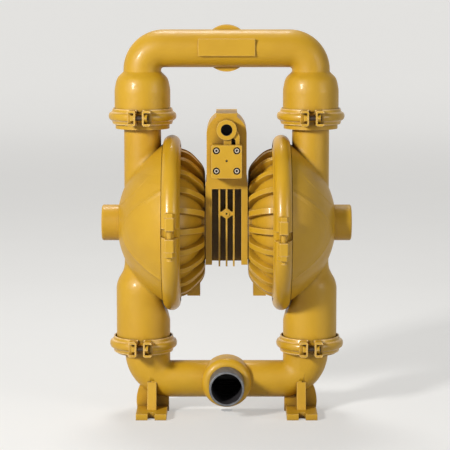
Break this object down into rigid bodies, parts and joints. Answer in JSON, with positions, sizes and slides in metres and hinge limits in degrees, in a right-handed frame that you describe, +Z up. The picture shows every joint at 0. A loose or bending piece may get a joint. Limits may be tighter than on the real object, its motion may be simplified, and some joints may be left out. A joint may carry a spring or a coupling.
{
  "type": "air operated diaphragm pump",
  "caption": "Air operated diaphragm pump with clamped castings, an inlet manifold on two feet, a discharge manifold and ball check valves.",
  "frame": {"origin": "on the ground under the centre of the pump", "axes": "+Z up, +X along the diaphragm shaft to the right of a viewer at the front, -Y towards the inlet nipple and the air valve"},
  "size_m": [0.431, 0.3418, 0.6735],
  "materials": {
    "paint": "satin mustard enamel over castings",
    "galvanized": "grey zinc coated pipe",
    "steel": "machined steel",
    "aluminium": "cast and turned aluminium",
    "bronze": "turned bronze",
    "rubber": "moulded black rubber",
    "gasket": "fibre gasket"
  },
  "bodies": {
    "root": {"discharge_manifold": "paint", "inlet_manifold": "paint", "left_liquid_chamber": "paint", "right_liquid_chamber": "paint", "left_air_chamber": "paint", "right_air_chamber": "paint", "center_block": "paint", "air_valve_body": "paint", "left_inlet_clamp_inner": "paint", "left_inlet_clamp_outer": "paint", "left_discharge_clamp_inner": "paint", "left_discharge_clamp_outer": "paint", "right_inlet_clamp_inner": "paint", "right_inlet_clamp_outer": "paint", "right_discharge_clamp_inner": "paint", "right_discharge_clamp_outer": "paint", "left_large_clamp_upper": "paint", "left_large_clamp_lower": "paint", "right_large_clamp_upper": "paint", "right_large_clamp_lower": "paint", "small_clamp_bolts": "paint", "small_clamp_nuts": "paint", "large_clamp_bolts": "paint", "large_clamp_nuts": "paint", "inlet_nipple": "galvanized", "air_valve_screws": "steel", "chamber_screws": "steel", "air_valve_snap_ring": "steel", "air_valve_end_cap": "aluminium", "shaft_bushing": "bronze", "left_diaphragm": "rubber", "right_diaphragm": "rubber", "seat_rings": "rubber", "shaft_seals": "rubber", "air_valve_cap_ring": "rubber", "left_inlet_seat": "rubber", "left_discharge_seat": "rubber", "right_inlet_seat": "rubber", "right_discharge_seat": "rubber", "left_chamber_gasket": "gasket", "right_chamber_gasket": "gasket", "air_valve_gasket": "gasket"},
    "shaft": {"main_shaft": "steel", "shaft_studs": "steel", "left_outer_piston": "aluminium", "right_outer_piston": "aluminium", "left_inner_piston": "steel", "right_inner_piston": "steel"},
    "air_spool": {"air_valve_piston": "aluminium"},
    "left_inlet_ball_body": {"left_inlet_ball": "rubber"},
    "left_discharge_ball_body": {"left_discharge_ball": "rubber"},
    "right_inlet_ball_body": {"right_inlet_ball": "rubber"},
    "right_discharge_ball_body": {"right_discharge_ball": "rubber"}
  },
  "joints": [
    {"name": "shaft_stroke", "type": "slide", "parent": "root", "child": "shaft", "axis": [1, 0, 0], "range_m": [-0.02, 0.02], "deforming": ["left_diaphragm", "right_diaphragm"]},
    {"name": "air_spool_travel", "type": "slide", "parent": "root", "child": "air_spool", "axis": [0, 0, 1], "range_m": [0, 0.012]},
    {"name": "left_inlet_ball_lift", "type": "slide", "parent": "root", "child": "left_inlet_ball_body", "axis": [0, 0, 1], "range_m": [0, 0.012]},
    {"name": "left_discharge_ball_lift", "type": "slide", "parent": "root", "child": "left_discharge_ball_body", "axis": [0, 0, 1], "range_m": [0, 0.012]},
    {"name": "right_inlet_ball_lift", "type": "slide", "parent": "root", "child": "right_inlet_ball_body", "axis": [0, 0, 1], "range_m": [0, 0.012]},
    {"name": "right_discharge_ball_lift", "type": "slide", "parent": "root", "child": "right_discharge_ball_body", "axis": [0, 0, 1], "range_m": [0, 0.012]}
  ]
}
